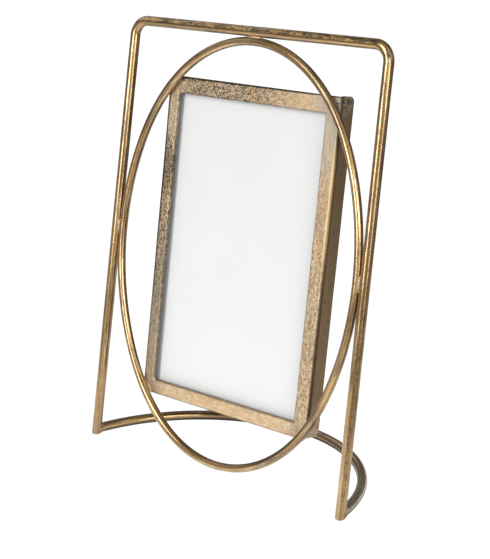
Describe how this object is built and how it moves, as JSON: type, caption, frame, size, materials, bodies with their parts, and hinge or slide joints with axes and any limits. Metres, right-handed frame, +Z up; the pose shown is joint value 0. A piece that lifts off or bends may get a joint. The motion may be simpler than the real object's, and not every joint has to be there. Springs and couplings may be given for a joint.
{
  "type": "picture frame",
  "caption": "Tabletop picture frame: a leaning bent-rod hoop with a floor bow carries an oval rod ring and a slim metal picture box that is loaded from the top.",
  "frame": {"origin": "on the table, under the middle of the object's bounding box", "axes": "+Z up; the picture faces -Y and leans back towards +Y; +X is to the right as seen by someone who looks at the picture"},
  "size_m": [0.1622, 0.0722, 0.2083],
  "materials": {
    "aged_gold_rod": "antique gold over steel rod, satin, with dark patina",
    "champagne_sheet": "pale brushed gold over sheet steel with dark speckle",
    "dark_bronze_sheet": "dull dark bronze over sheet steel",
    "braze": "rough braze metal, washed with gold",
    "clear_glass": "clear picture glass, polished",
    "white_card": "plain off-white card, matt",
    "hardboard": "dark grey hardboard, matt"
  },
  "bodies": {
    "frame": {"stand_hoop": "aged_gold_rod", "base_arc": "aged_gold_rod", "oval_ring": "aged_gold_rod", "bezel_plate": "champagne_sheet", "side_band": "dark_bronze_sheet", "rear_lip_left": "dark_bronze_sheet", "rear_lip_right": "dark_bronze_sheet", "rear_lip_bottom": "dark_bronze_sheet", "weld_ring_top": "braze", "weld_ring_left": "braze", "weld_ring_right": "braze", "weld_corner_top_left": "braze", "weld_corner_top_right": "braze", "weld_corner_bottom_left": "braze", "weld_corner_bottom_right": "braze", "weld_foot_left": "braze", "weld_foot_right": "braze"},
    "glass": {"glass_pane": "clear_glass"},
    "card": {"photo_card": "white_card"},
    "panel": {"back_panel": "hardboard"}
  },
  "joints": [
    {"name": "glass_slide", "type": "slide", "parent": "frame", "child": "glass", "axis": [0, 0.1564, 0.9877], "range_m": [0, 0.16]},
    {"name": "card_slide", "type": "slide", "parent": "frame", "child": "card", "axis": [0, 0.1564, 0.9877], "range_m": [0, 0.16]},
    {"name": "panel_slide", "type": "slide", "parent": "frame", "child": "panel", "axis": [0, 0.1564, 0.9877], "range_m": [0, 0.16]}
  ]
}
